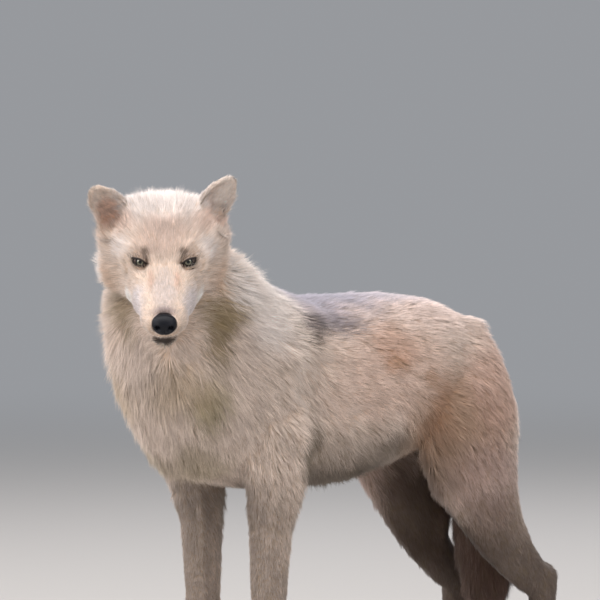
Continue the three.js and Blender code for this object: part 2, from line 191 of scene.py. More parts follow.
# Places in mm: across from the middle of the body, back from the forefeet towards the tail, and up. The
# head's are from its joint with the neck: across, back (so minus is towards the nose) and up. Each place off
# the middle stands for both sides. Then the way the hair lies, its length, the depth of the coat and the
# spacing of the tufts, all in mm.
BODY_COAT = (
    ("neck", (0, -110, 905), (0, 1, -0.1), 52, 20.9, 1.77),
    ("neck", (100, -100, 800), (0.15, 1, -0.8), 52, 19.9, 1.77),
    ("neck", (120, -130, 690), (0.2, 0.6, -1), 52, 19.9, 1.77),
    ("neck", (0, -210, 720), (0, 0.2, -1), 52, 19.9, 1.77),
    ("chest", (0, -190, 600), (0, 0.3, -1), 48, 18.1, 1.9),
    ("chest", (90, -140, 560), (0.1, 0.4, -1), 42, 16.1, 1.9),
    ("chest", (0, -80, 450), (0, 0.6, -1), 40, 16.1, 1.9),
    ("trunk", (0, 30, 820), (0, 1, -0.05), 46, 18, 2.51),
    ("trunk", (100, 40, 760), (0.1, 1, -0.6), 46, 19, 2.51),
    ("trunk", (0, 180, 800), (0, 1, -0.02), 30, 10, 2.32),
    ("trunk", (0, 310, 790), (0, 1, -0.05), 29, 9, 2.32),
    ("trunk", (0, 540, 770), (0, 1, -0.25), 27, 9, 2.32),
    ("trunk", (45, 615, 742), (0, 0.9, -0.8), 24, 8, 2.32),
    ("trunk", (150, 60, 640), (0.1, 0.7, -0.9), 34, 13, 2.41),
    ("trunk", (130, 150, 700), (0, 1, -0.35), 30, 10, 2.32),
    ("trunk", (150, 230, 640), (0, 1, -0.3), 29, 9, 2.32),
    ("trunk", (140, 440, 640), (0, 1, -0.3), 29, 9, 2.32),
    ("trunk", (100, 280, 500), (0, 1, -0.8), 38, 12, 2.32),
    ("trunk", (0, 250, 430), (0, 0.8, -1), 48, 16, 2.41),
    ("trunk", (70, 200, 445), (0, 0.7, -1), 48, 16, 2.41),
    ("trunk", (95, 400, 520), (0, 0.6, -1), 44, 15, 2.32),
    ("trunk", (0, 510, 500), (0, 1, -0.3), 30, 11, 2.51),
    ("trunk", (100, 590, 700), (0.1, 1, -0.7), 29, 9, 2.32),
    ("thigh", (135, 620, 600), (0, 0.7, -1), 28, 8, 2.33),
    ("thigh", (80, 750, 620), (0, 0.6, -1), 30, 10, 2.33),
    ("thigh", (130, 570, 480), (0, 0.5, -1), 24, 7, 2.33),
    ("thigh", (100, 730, 460), (0, 0.4, -1), 26, 8, 2.33),
    ("foreleg", (110, 30, 500), (0, 0.4, -1), 28, 9, 2.6),
    ("foreleg", (100, 80, 430), (0, 0.5, -1), 22, 7, 2.6),
    ("foreleg", (90, 0, 360), (0, 0.15, -1), 15, 4, 2.5),
    ("foreleg", (86, 0, 260), (0, 0.1, -1), 12, 3, 2.5),
    ("foreleg", (86, 0, 180), (0, 0.1, -1), 11, 2.8, 2.5),
    ("foreleg", (86, 0, 110), (0, 0, -1), 10, 2.6, 2.5),
    ("foreleg", (86, -25, 50), (0, -1, -0.6), 8, 2.4, 2.4),
    ("hindleg", (100, 660, 370), (0, 0.5, -1), 16, 4.5, 2.5),
    ("hindleg", (98, 710, 280), (0, 0.6, -1), 13, 3.5, 2.5),
    ("hindleg", (96, 760, 215), (0, 0.2, -1), 11, 3, 2.5),
    ("hindleg", (96, 755, 130), (0, -0.1, -1), 10, 2.8, 2.5),
    ("hindleg", (96, 725, 50), (0, -1, -0.6), 8, 2.4, 2.4),
    ("tail", (0, 660, 650), (0, 0.5, -1), 40, 15, 2.3),
    ("tail", (0, 710, 540), (0, 0.15, -1), 49, 18, 2.5),
    ("tail", (0, 715, 400), (0, 0.05, -1), 52, 20, 2.6),
    ("tail", (0, 720, 260), (0, 0, -1), 52, 19, 2.6),
    ("tail", (0, 720, 150), (0, 0, -1), 45, 18, 2.4),
)
HEAD_COAT = (
    ("face", (0, -255, 12), (0, 1, 0.25), 6.8, 1.6, 1.02),
    ("face", (0, -205, 28), (0, 1, 0.35), 9.5, 2, 1.12),
    ("face", (0, -165, 45), (0, 1, 0.8), 14, 2.8, 1.21),
    ("face", (30, -250, -15), (0.3, 1, -0.15), 8.1, 2, 1.12),
    ("face", (42, -205, -10), (0.35, 1, -0.3), 12, 2.5, 1.21),
    ("face", (0, -245, -55), (0, 1, -0.2), 11, 2.8, 1.3),
    ("face", (28, -200, -58), (0.1, 1, -0.3), 16, 4.1, 1.4),
    ("face", (52, -160, 5), (0.6, 1, -0.2), 16, 3.4, 1.21),
    ("face", (40, -160, 55), (0.5, 0.7, 0.9), 12, 3, 1.12),
    ("face", (0, -125, 72), (0, 1, 0.75), 20, 5.2, 1.3),
    ("face", (62, -125, 50), (0.7, 1, 0.2), 19, 4.6, 1.3),
    ("crown", (0, -60, 104), (0, 0.9, 0.6), 34, 20, 1.38),
    ("crown", (0, 0, 88), (0, 1, -0.3), 38, 18, 1.66),
    ("crown", (0, 34, 62), (0, 0.9, -1), 42, 18, 1.75),
    ("crown", (60, 20, 66), (0.2, 1, -0.8), 38, 16, 1.75),
    ("crown", (55, -85, 85), (0.5, 1, 0.3), 22, 7, 1.47),
    ("cheek", (85, -120, 0), (0.8, 1, -0.4), 23, 8, 1.44),
    ("cheek", (118, -62, -10), (0.7, 1, -0.6), 40, 16, 1.71),
    ("cheek", (75, -80, -95), (0.4, 0.8, -1), 42, 17, 1.71),
    ("cheek", (0, -110, -85), (0, 1, -0.5), 28, 12, 1.71),
    ("cheek", (0, -40, -105), (0, 1, -0.6), 44, 19, 1.89),
    ("cheek", (95, 0, 20), (0.3, 1, -0.4), 40, 16, 1.71),
    ("cheek", (94, -64, 44), (0.6, 0.5, 0.6), 24, 5, 1.53),
    ("ear", (112, -40, 62), (0.5, 0.8, 0.5), 16, 3, 1.8),
    ("ear", (88, -46, 100), (0.6, 0, 1), 9, 1.4, 1.6),
    ("ear", (110, -44, 130), (0.6, 0, 1), 7, 1, 1.6),
)
BODY = Matrix.Translation((MIDDLE, between_forefeet.y, 0))


def both_sides(place):
    """A place in mm, and its mirror image if it lies off the middle."""
    return [Vector((place[0] * side, *place[1:])) for side in ((1, -1) if place[0] else (1,))]


def coat_places():
    """The two tables as arrays in the model's frame, with both sides: part, place, lie and three lengths."""
    parts, places, lies, sizes = [], [], [], []
    for table, home in ((BODY_COAT, BODY), (HEAD_COAT, HEAD)):
        for name, place, lie, *lengths in table:
            for spot in both_sides(place):
                side = -1 if spot.x < 0 else 1
                parts.append(name)
                places.append(home @ (spot * MM))
                lies.append(home.to_3x3() @ Vector((lie[0] * side, *lie[1:])).normalized())
                sizes.append(lengths)
    return np.array(parts), np.array(places), np.array(lies), np.array(sizes) * MM


COAT_PARTS, COAT_PLACES, COAT_LIES, COAT_SIZES = coat_places()
BLEND_CORE = 0.012  # closer than this, a place rules alone
BLEND_FALL = 2.5
POINTS_AT_ONCE = 20000


def coat_at(points):
    """The coat at each point, blended from the near places: lie, (length, depth, spacing), nearest part."""
    lies, sizes, nearest = [], [], []
    for some in np.array_split(points, max(1, len(points) // POINTS_AT_ONCE)):
        gap = ((some[:, None] - COAT_PLACES[None]) ** 2).sum(2) + BLEND_CORE**2
        share = gap**-BLEND_FALL
        share /= share.sum(1, keepdims=True)
        lies.append(share @ COAT_LIES)
        sizes.append(share @ COAT_SIZES)
        nearest.append(gap.argmin(1))
    return np.concatenate(lies), np.concatenate(sizes), COAT_PARTS[np.concatenate(nearest)]


def unit(vectors):
    """Rows of a table scaled to length 1."""
    return vectors / np.maximum(np.linalg.norm(vectors, axis=1, keepdims=True), 1e-9)


def read_mesh(mesh):
    """Points, edges and triangles of a mesh as arrays."""
    mesh.calc_loop_triangles()
    points = np.empty(len(mesh.vertices) * 3)
    edges = np.empty(len(mesh.edges) * 2, int)
    triangles = np.empty(len(mesh.loop_triangles) * 3, int)
    mesh.vertices.foreach_get("co", points)
    mesh.edges.foreach_get("vertices", edges)
    mesh.loop_triangles.foreach_get("vertices", triangles)
    return points.reshape(-1, 3), edges.reshape(-1, 2), triangles.reshape(-1, 3)


def sum_at(index, values, count):
    """Adds rows of values into the rows that index names."""
    return np.stack([np.bincount(index, values[:, k], count) for k in range(values.shape[1])], 1)


def relax(values, edges, share, rounds):
    """Moves each point's value a share of the way to the mean of its neighbours', round after round."""
    count = len(values)
    degree = np.maximum(np.bincount(edges.ravel(), minlength=count), 1)[:, None]
    one, other = edges.T
    for _ in range(rounds):
        total = sum_at(one, values[other], count) + sum_at(other, values[one], count)
        values = values + share * (total / degree - values)
    return values


STEP_BACK = 1.04


def smooth(points, edges, share, rounds):
    """Takes the roughness off a surface, each time with a step back out, so that the body keeps its size."""
    for _ in range(rounds):
        points = relax(relax(points, edges, share, 1), edges, -STEP_BACK * share, 1)
    return points


def normals_of(points, triangles):
    """Outward normals at the points, from the triangles' areas."""
    a, b, c = (points[triangles[:, k]] for k in range(3))
    flat = np.cross(b - a, c - a)
    total = sum(sum_at(triangles[:, k], flat, len(points)) for k in range(3))
    return unit(total)


VOXEL = 0.0034
OVERLAP = 0.0006  # closes the cuts between the solids
HEAD_BACK = 0.02
KEPT_SHARE = 0.42  # of the faces behind the head
FLESH = [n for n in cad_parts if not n.startswith(("eye", "nose")) and "claw" not in n]


def to_home(points, home):
    """Points of the model's frame in the coordinates of a home matrix."""
    back = np.array(home.inverted())
    return points @ back[:3, :3].T + back[:3, 3]


def from_home(points, home):
    """Points in the coordinates of a home matrix, back in the model's frame."""
    out = np.array(home)
    return points @ out[:3, :3].T + out[:3, 3]


def evaluated_mesh(block):
    """A new mesh of an object with its modifiers applied."""
    return bpy.data.meshes.new_from_object(block.evaluated_get(bpy.context.evaluated_depsgraph_get()))


def join_flesh():
    """The flesh solids as one closed mesh of small quads; each is swollen a little, so that they overlap."""
    joined = bmesh.new()
    for name in FLESH + ["eye_left", "eye_right"]:
        joined.from_mesh(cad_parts[name].data)
    joined.normal_update()
    for vertex in joined.verts:
        vertex.co += vertex.normal * OVERLAP
    mesh = bpy.data.meshes.new("flesh")
    joined.to_mesh(mesh)
    joined.free()
    block = add_object("flesh", mesh)
    remesh = block.modifiers.new("remesh", "REMESH")
    remesh.mode = "VOXEL"
    remesh.voxel_size = VOXEL
    block.data = evaluated_mesh(block)
    block.modifiers.clear()
    # Away from the head the skin is under long hair, and needs fewer faces.
    behind_head = to_home(read_mesh(block.data)[0], HEAD)[:, 1] > HEAD_BACK
    thinned = block.vertex_groups.new(name="thinned")
    thinned.add(np.flatnonzero(behind_head).tolist(), 1.0, "REPLACE")
    thin = block.modifiers.new("thin", "DECIMATE")
    thin.vertex_group = "thinned"
    thin.ratio = KEPT_SHARE
    whole = evaluated_mesh(block)
    bpy.data.objects.remove(block)
    return whole


# Each eye's own axes: along the slit of the lids and away from the nose, across it, and out of the face.
LID_TILT = math.radians(24)
eye_homes = {}
for side, sign in (("left", 1), ("right", -1)):
    out = Vector((0.17 * sign, -0.83, 0.53)).normalized()
    lateral = Vector((sign, 0, 0))
    lateral = (lateral - out * lateral.dot(out)).normalized()
    up = out.cross(lateral) * (1 if out.cross(lateral).z > 0 else -1)
    slit = lateral * math.cos(LID_TILT) + up * math.sin(LID_TILT)
    across = up * math.cos(LID_TILT) - lateral * math.sin(LID_TILT)
    axes = Matrix((slit, across, out)).transposed().to_4x4()
    eye_homes[side] = Matrix.Translation(eyes[side]) @ head_turn @ axes

EYE_RADIUS = 0.0125
LID_THICKNESS = 0.0013
SLIT_HALF_LENGTH = 0.0128
UPPER_LID_RISE = 0.0036
LOWER_LID_DROP = 0.0051


def lid_gap(points, side):
    """Distance of each point from the lids' edge, minus inside the slit, and the point in the eye's axes."""
    local = to_home(points, eye_homes[side])
    along = local[:, 0] / SLIT_HALF_LENGTH
    arch = 1 - along**2
    upper = local[:, 1] - UPPER_LID_RISE * arch
    lower = -LOWER_LID_DROP * arch - local[:, 1]
    return np.maximum(upper, lower), local


# The line of the closed mouth: its height along the muzzle, from under the nose back to the corner.
MOUTH = ((-285, -37), (-262, -38), (-248, -41), (-214, -45), (-190, -46), (-172, -43))
MOUTH_CORNER = -172
MOUTH_WIDTH = 2.4
MOUTH_DEPTH = 3.2


def mouth_gap(local):
    """Distance in mm from the line of the mouth, in the head's frame."""
    behind, height = np.array(MOUTH).T
    beyond = np.maximum(local[:, 1] - MOUTH_CORNER, 0) + np.maximum(np.abs(local[:, 0]) - 60, 0)
    return np.hypot(local[:, 2] - np.interp(local[:, 1], behind, height), beyond) + 99 * (local[:, 1] < -300)


def refine(whole):
    """Splits the faces of the mouth and the eyes' surrounds once, and those of the lids twice more."""
    fine = bmesh.new()
    fine.from_mesh(whole)
    for eye_reach, mouth_reach in ((0.034, 0.016), (0.024, 0.008), (0.017, 0)):
        points = np.array([v.co for v in fine.verts])
        to_eyes = [np.linalg.norm(points - np.array(centre), axis=1) for centre in eyes.values()]
        to_mouth = mouth_gap(to_home(points, HEAD) / MM) * MM
        chosen = (np.minimum(*to_eyes) < eye_reach) | (to_mouth < mouth_reach)
        keep = [edge for edge in fine.edges if chosen[edge.verts[0].index] and chosen[edge.verts[1].index]]
        bmesh.ops.subdivide_edges(fine, edges=keep, cuts=1, use_grid_fill=True)
        fine.verts.index_update()
        fine.verts.ensure_lookup_table()
    bmesh.ops.triangulate(fine, faces=fine.faces)
    fine.to_mesh(whole)
    fine.free()
    return whole


def smooth_step(values, low, high):
    """0 below low, 1 above high and a smooth rise between."""
    share = np.clip((values - low) / (high - low), 0, 1)
    return share * share * (3 - 2 * share)


# Every seam is smoothed, and the body much more where its coat is deep.
SEAM_ROUNDS = 14
BODY_ROUNDS = 70
SHRINK_STEPS = 6
skin_mesh = refine(join_flesh())
points, edges, triangles = read_mesh(skin_mesh)
coat_depth = coat_at(points)[1][:, 1:2]
points = smooth(points, edges, 0.5, SEAM_ROUNDS)
soft = smooth(points, edges, 0.5, BODY_ROUNDS)
points += (soft - points) * smooth_step(coat_depth, 0.008, 0.02)

# The soles carry no coat, so the skin stays on the floor there.
coat_depth = relax(coat_depth * smooth_step(points[:, 2:3], 0.003, 0.014), edges, 0.5, 6)
for _ in range(SHRINK_STEPS):
    normals = relax(normals_of(points, triangles), edges, 0.5, 4)
    points = smooth(points - unit(normals) * coat_depth / SHRINK_STEPS, edges, 0.4, 3)

# The forms of a wolf's face under the short hair, in mm in the head's frame: place, reach, and how far the
# skin moves there.
FACE_FORMS = (
    ((24, -142, 50), 14, (0, -2.0, 3.0)),  # brow ridges
    ((42, -140, 57), 13, (0, -4.0, 4.0)),  # and their arch over the eyes
    ((58, -146, 32), 14, (3.5, -4.5, 2.5)),  # cheekbones, behind the outer corners
    ((46, -160, 18), 12, (1.0, -3.5, 0.5)),  # rims of the sockets, below the eyes
    ((23, -166, 24), 9, (-1.5, 1.0, -2.5)),  # hollows in front of the inner corners
    ((0, -128, 72), 11, (0, 0, -2.5)),  # furrow of the forehead
    ((0, -168, 38), 14, (0, 1, -2.5)),  # stop
    ((28, -246, -20), 14, (3.5, -1, 0)),  # whisker pads
    ((44, -196, -22), 20, (4.5, 0, 0)),  # full sides of the muzzle
    ((60, -165, -38), 24, (8, -5, 0)),  # and of the cheeks behind it
    ((0, -254, -54), 13, (0, -5, -4)),  # chin
    ((106, -40, 12), 30, (-7, 0, 0)),  # dips between the ears and the cheeks
)
BODY_FORMS = (
    ((30, 695, 360), 60, (13, -9, 0)),  # fullness of the tail's middle
    ((76, 672, 350), 42, (-19, 15, 0)),  # and of the breeches beside it
)
# Creases at the feet of the two ears, which hair fills: place and reach.
FILLED = (((-118, -62, 66), 16), ((94, -52, 40), 22), ((84, -68, 60), 24))
FILL_ROUNDS = 120


def nearness(local, spot, reach):
    """1 at a spot, falling softly to 0 over the given reach."""
    return np.exp(-((local - np.array(spot)) ** 2).sum(1) / reach**2)[:, None]


def push_out(points, forms, home):
    """The points of the model's frame, moved by the forms of one home frame."""
    local = to_home(points, home) / MM
    for place, reach, push in forms:
        for spot in both_sides(place):
            side = -1 if spot.x < 0 else 1
            local = local + nearness(local, spot, reach) * np.array((push[0] * side, *push[1:]))
    return from_home(local * MM, home)


points = push_out(push_out(points, FACE_FORMS, HEAD), BODY_FORMS, BODY)
soft = relax(points, edges, 0.5, FILL_ROUNDS)
local = to_home(points, HEAD) / MM
for place, reach in FILLED:
    points += (soft - points) * np.minimum(1, 1.3 * nearness(local, place, reach))
local = to_home(points, HEAD) / MM
into_head = normals_of(points, triangles) @ np.array(head_turn.to_3x3())
local -= into_head * (MOUTH_DEPTH * np.exp(-((mouth_gap(local) / MOUTH_WIDTH) ** 2)))[:, None]
points = from_home(local * MM, HEAD)

# The lids: skin drawn over the front of the eyeball, with a slit that the eye looks out of.
LID_WIDTH = 0.0025
LID_REACH = 0.005
EYE_SURROUND = 0.028
SUNK_SLOPE = 2.5
SUNK_LIMIT = 0.004
for side, home in eye_homes.items():
    gap, local = lid_gap(points, side)
    from_axis = np.linalg.norm(local[:, :2], axis=1)
    near = (from_axis < EYE_SURROUND) & (local[:, 2] > -0.02)
    ball = np.sqrt(np.maximum((EYE_RADIUS + LID_THICKNESS) ** 2 - from_axis**2, 0))
    over = np.exp(-((np.maximum(gap - LID_WIDTH, 0) / LID_REACH) ** 2))
    lidded = np.maximum(local[:, 2] + (ball - local[:, 2]) * over, ball - 0.5 * LID_THICKNESS)
    sunk = ball - LID_THICKNESS - np.clip(-gap * SUNK_SLOPE, 0, SUNK_LIMIT)
    local[near, 2] = np.where(gap > 0, lidded, sunk)[near]
    points = from_home(local, home)
points[:, 2] = np.maximum(points[:, 2], 0)
skin_mesh.vertices.foreach_set("co", points.ravel())
skin_mesh.polygons.foreach_set("use_smooth", [True] * len(skin_mesh.polygons))
skin_mesh.update()
normals = normals_of(points, triangles)
skin = add_object("skin", skin_mesh)
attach(skin, "root")
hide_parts(*FLESH)

# Markings and painted shade, which skin and coat share: a cream wolf with a near-white crown, tan flanks and
# a grey saddle, with painted shade low on the body, on the legs and tail, under the jaw and over the eyes.
# Each patch is a place and its half sizes in mm, its colour, and the share of that colour at its middle.
CREAM = "#efdccf"
BODY_MARKS = (
    ((0, 330, 790), (170, 460, 130), "#e9d1c9", 0.75),  # pinkish back
    ((130, 300, 640), (60, 210, 90), "#f3d3c3", 0.7),  # flanks, and their ochre patches
    ((116, 312, 688), (40, 84, 46), "#d3a68e", 0.5),
    ((128, 306, 660), (30, 44, 17), "#b9855c", 0.5),
    ((127, 403, 629), (26, 28, 18), "#ad7f58", 0.55),
    ((130, 500, 530), (80, 160, 130), "#ad896f", 0.8),  # brown before the thigh
    ((116, 437, 565), (34, 42, 76), "#a67c5f", 0.55),
    ((130, 600, 610), (90, 100, 100), "#deb9aa", 0.7),  # thigh
    # lower down, the thigh darkens towards the shank, partly in its own colour and partly as painted shade
    ((130, 570, 440), (110, 130, 90), "#c4aaa3", 0.75),
    ((128, 585, 350), (50, 90, 80), "#937f76", 0.8),
    ((114, 345, 524), (36, 66, 32), "#75675a", 0.75),  # shade in the fold of the flank
    ((139, 92, 520), (30, 40, 52), "#6d6453", 0.75),  # and behind the elbow
    ((105, 715, 200), (110, 200, 230), "#483b35", 0.85),  # shanks and hocks, partly their own browner colour and partly painted shade
    ((62, 575, 350), (48, 140, 170), "#47352a", 0.88),  # and painted shade on the insides of the thighs
    ((0, 210, 452), (192, 290, 122), "#564c40", 0.9),  # belly, painted shade under the body
    ((0, 0, 810), (190, 100, 100), "#f8efe9", 0.85),  # pale shoulders
    ((130, -30, 765), (50, 60, 70), "#fbf1ec", 0.8),
    ((124, 40, 690), (30, 30, 100), "#f6e9e0", 0.7),  # and the edge of the mane
    ((0, 180, 775), (138, 185, 72), "#9896a6", 0.88),  # grey saddle
    ((0, 370, 778), (74, 190, 46), "#a8a5b3", 0.65),
    ((104, 182, 729), (30, 95, 20), "#6a6773", 0.7),
    ((115, 98, 736), (28, 48, 25), "#3e3b43", 0.85),  # its dark front corners
    ((134, 86, 717), (20, 24, 15), "#35271f", 0.88),
    ((100, -128, 735), (34, 26, 50), "#8a7852", 0.75),  # olive shade in the ruff
    ((96, -127, 621), (34, 36, 60), "#a2966c", 0.65),
    ((60, -160, 650), (60, 50, 50), "#c3ab80", 0.4),
    ((60, -110, 505), (70, 60, 60), "#a89a80", 0.65),  # chest, olive grey, partly its own colour and partly painted shade under the neck
    ((92, 10, 250), (60, 110, 260), "#9c9089", 0.8),  # forelegs, greyer than the body, partly their own colour and partly painted shade
    ((0, 715, 390), (90, 90, 330), "#4a2717", 0.92),  # tail, reddish brown, darker partly as painted shade between the hind legs
    ((0, 720, 120), (60, 60, 60), "#5a443a", 0.5),
)
HEAD_MARKS = (
    ((0, -40, 90), (110, 80, 70), "#ebe2e0", 0.9),  # crown
    ((60, -92, 72), (24, 24, 22), "#dfc3b5", 0.7),  # and its warmer corners, by the ears
    ((0, -124, 70), (52, 44, 40), "#cab3a9", 0.75),  # forehead
    ((66, -124, 44), (25, 22, 21), "#fdf2ee", 0.88),  # pale brows
    ((86, -104, -20), (24, 38, 34), "#dfc1aa", 0.75),  # cheeks
    ((112, -78, -40), (24, 30, 60), "#f8f1ee", 0.8),  # and their white edge
    ((76, -122, -72), (44, 52, 34), "#95825f", 0.8),  # painted olive shade under the jaw
    ((58, -168, -30), (16, 26, 26), "#fbf8f6", 0.9),  # white tufts behind the muzzle
    ((0, -215, 20), (22, 60, 30), "#d3c7c5", 0.85),  # bridge of the nose
    ((40, -208, -8), (18, 46, 30), "#ded6d8", 0.9),  # pale sides of the muzzle
    ((21, -190, 24), (6, 26, 12), "#cba797", 0.6),  # streaks from the inner corners
    ((0, -258, 10), (24, 12, 14), "#9c8e90", 0.8),  # grey skin behind the nose
    ((0, -246, -58), (34, 40, 14), "#c9c1b9", 0.8),  # chin
    ((0, -260, -46), (23, 14, 6), "#332c2a", 0.95),  # dark lower lip
    ((93, -54, 78), (24, 13, 42), "#e0bcab", 0.8),  # bare inside of the ears
    ((64, -74, 58), (12, 16, 26), "#d6a180", 0.6),  # tan at their feet
    ((112, -66, 92), (10, 10, 46), "#fbeee6", 0.8),  # and their pale rims
    ((99, -34, 104), (20, 12, 46), "#fff4ee", 0.9),
    ((29, -151, 53), (8, 8, 8), "#66544a", 0.78),  # dark spots over the inner corners
)
LID_RIM = "#241b18"
LID_PAINTED_SHADE = "#8a7264"
LIP = "#3a2f2c"
SOLE = "#4a403c"
RAGGEDNESS = 0.16  # of a patch's edge


def mottle(points, size):
    """A smooth, even noise between about -1 and 1, with patches of about the given size."""
    draw = np.random.default_rng(5)
    total = np.zeros(len(points))
    for _ in range(7):
        way = unit(draw.normal(size=(1, 3)))[0]
        total += np.sin(points @ way * draw.uniform(2, 5) / size + draw.uniform(0, 6))
    return total / 4


def tint(colours, hex_colour, share):
    """Lays a colour over the colours by each row's share."""
    return colours + (np.array(linear(hex_colour)[:3]) - colours) * share[:, None]


def markings_and_shade(points):
    """The colour of skin and coat at each point, linear, with its painted shade."""
    colours = np.tile(linear(CREAM)[:3], (len(points), 1))
    for marks, home in ((BODY_MARKS, BODY), (HEAD_MARKS, HEAD)):
        local = to_home(points, home) / MM
        for place, sizes, hex_colour, share in marks:
            ragged = RAGGEDNESS * mottle(points, min(sizes) * MM)
            for spot in both_sides(place):
                reach = np.linalg.norm((local - np.array(spot)) / sizes, axis=1) + ragged
                colours = tint(colours, hex_colour, share * (1 - smooth_step(reach, 0.45, 1.25)))
    for side in eye_homes:
        gap, local = lid_gap(points, side)
        close = (np.linalg.norm(local, axis=1) < 0.02) & (local[:, 2] > 0)
        corner = smooth_step(np.abs(local[:, 0]), 0.008, 0.016)
        rim = 1 - smooth_step(gap, 0.0022 + 0.0010 * corner, 0.0050)
        # Painted shade of the brow, on the upper lid.
        above = (1 - smooth_step(gap, 0.003, 0.010)) * close * (local[:, 1] > 0)
        colours = tint(colours, LID_PAINTED_SHADE, 0.6 * above)
        droop = local[:, 1] + 0.4 * np.maximum(local[:, 0] - 0.011, 0)
        line = (1 - smooth_step(np.abs(droop), 0.0008, 0.0022)) * (np.abs(local[:, 0]) < 0.020)
        colours = tint(colours, LID_RIM, np.where(close, np.maximum(rim, 0.8 * line * (local[:, 0] > 0)), 0))
    lips = 1 - smooth_step(mouth_gap(to_home(points, HEAD) / MM), 1.6, 3.8)
    colours = tint(colours, LIP, 0.95 * lips)
    return tint(colours, SOLE, 1 - smooth_step(points[:, 2], 0.001, 0.006))


def paint(mesh, colours):
    """Stores linear colours on the mesh's points for the fur and skin finishes."""
    layer = mesh.color_attributes.new("marking_and_shade", "FLOAT_COLOR", "POINT")
    layer.data.foreach_set("color", np.column_stack((colours, np.ones(len(colours)))).ravel())


paint(skin_mesh, markings_and_shade(points))

# Dense wool under the guard hairs: matt, with clumps a little over 2 mm wide that mottle it, and a little
# darker than the coat as painted shade between the tufts.
WOOL_CLUMP = 2.38 * MM
underfur, tree, shader = new_material("wolf_underfur")
marking_and_shade = add_node(tree, "Attribute", attribute_name="marking_and_shade")
place = add_node(tree, "TexCoord").outputs["Object"]
wool = add_node(tree, "TexNoise", {"Vector": place, "Scale": 1 / WOOL_CLUMP, "Detail": 4})
wool_mottle_and_shade = add_node(
    tree, "Mix",
    {"Factor": wool.outputs["Fac"], "A": linear("#9c9088"), "B": linear("#ffffff")},
    data_type="RGBA",
)
toned = add_node(
    tree, "Mix",
    {"Factor": 0.25, "A": marking_and_shade.outputs["Color"], "B": wool_mottle_and_shade.outputs["Result"]},
    data_type="RGBA", blend_type="MULTIPLY",
)
relief = add_node(tree, "Bump", {"Height": wool.outputs["Fac"], "Strength": 0.5, "Distance": 0.002})
tree.links.new(toned.outputs["Result"], shader.inputs["Base Color"])
tree.links.new(relief.outputs["Normal"], shader.inputs["Normal"])
shader.inputs["Roughness"].default_value = 0.9
skin_mesh.materials.append(underfur)

# ----------------------------------------
# Eyes. Glass eyes as a model maker sets them: a ball with a painted iris behind a clear, domed cornea, turned
# so that both look at the viewer.
# ----------------------------------------

CORNEA_HALF_ANGLE = math.radians(33)
CORNEA_RISE = 0.0009
IRIS_RINGS = (  # distance from the middle in mm, colour
    (0, "#050505"), (2.3, "#070606"), (2.7, "#4c4836"), (3.4, "#85826c"), (4.5, "#787764"), (5.4, "#3d3a30"),
    (6.0, "#12100e"), (7.2, "#17120f"), (8.2, "#5a4a42"),
)
FIBRES_IN_RADIAN = 9.0  # so that a fibre is 0.4 mm wide in the middle of the iris
FIBRE_LENGTH = 1.85 * MM
gaze = (camera.location - (eyes["left"] + eyes["right"]) / 2).normalized()
gaze_turn = gaze.to_track_quat("Z", "Y").to_matrix().to_4x4()

# Glass over paint: rings of dull colour round a black pupil, under a clear coat with one sharp highlight.
eye_glass, tree, shader = new_material("painted_glass_eye")
place = add_node(tree, "SeparateXYZ", {"Vector": add_node(tree, "TexCoord").outputs["Object"]})
flat = add_node(tree, "CombineXYZ", {"X": place.outputs["X"], "Y": place.outputs["Y"]})
radius = add_node(tree, "VectorMath", {0: flat.outputs["Vector"]}, operation="LENGTH")
turn = add_node(tree, "Math", {0: place.outputs["Y"], 1: place.outputs["X"]}, operation="ARCTAN2")
outward = add_node(
    tree, "Math", {0: radius.outputs["Value"], 1: 1 / FIBRE_LENGTH / FIBRES_IN_RADIAN}, operation="MULTIPLY",
)
ray = add_node(tree, "CombineXYZ", {"X": turn.outputs["Value"], "Y": outward.outputs["Value"]})
fibres = add_node(tree, "TexNoise", {"Vector": ray.outputs["Vector"], "Scale": FIBRES_IN_RADIAN, "Detail": 3})
across_eye = add_node(tree, "Math", {0: radius.outputs["Value"], 1: 1 / EYE_RADIUS}, operation="MULTIPLY")
iris = add_node(tree, "ValToRGB", {"Fac": across_eye.outputs["Value"]})
ramp = iris.color_ramp.elements
while len(ramp) < len(IRIS_RINGS):
    ramp.new(0.5)
for element, (distance, hex_colour) in zip(ramp, IRIS_RINGS):
    element.position = distance * MM / EYE_RADIUS
    element.color = linear(hex_colour)
depth_of_fibre = add_node(tree, "MapRange", {"Value": fibres.outputs["Fac"], "To Min": 0.0, "To Max": 0.5})
streaked = add_node(
    tree, "Mix",
    {"Factor": depth_of_fibre.outputs["Result"], "A": iris.outputs["Color"], "B": linear("#2b2617")},
    data_type="RGBA", blend_type="MULTIPLY",
)
tree.links.new(streaked.outputs["Result"], shader.inputs["Base Color"])
shader.inputs["Roughness"].default_value = 0.12
shader.inputs["IOR"].default_value = 1.38
shader.inputs["Coat Weight"].default_value = 1.0
shader.inputs["Coat Roughness"].default_value = 0.02



def smooth_mesh(name, form, material):
    """A bmesh as a smoothly shaded mesh of one material."""
    mesh = bpy.data.meshes.new(name)
    form.to_mesh(mesh)
    form.free()
    mesh.polygons.foreach_set("use_smooth", [True] * len(mesh.polygons))
    mesh.materials.append(material)
    return mesh


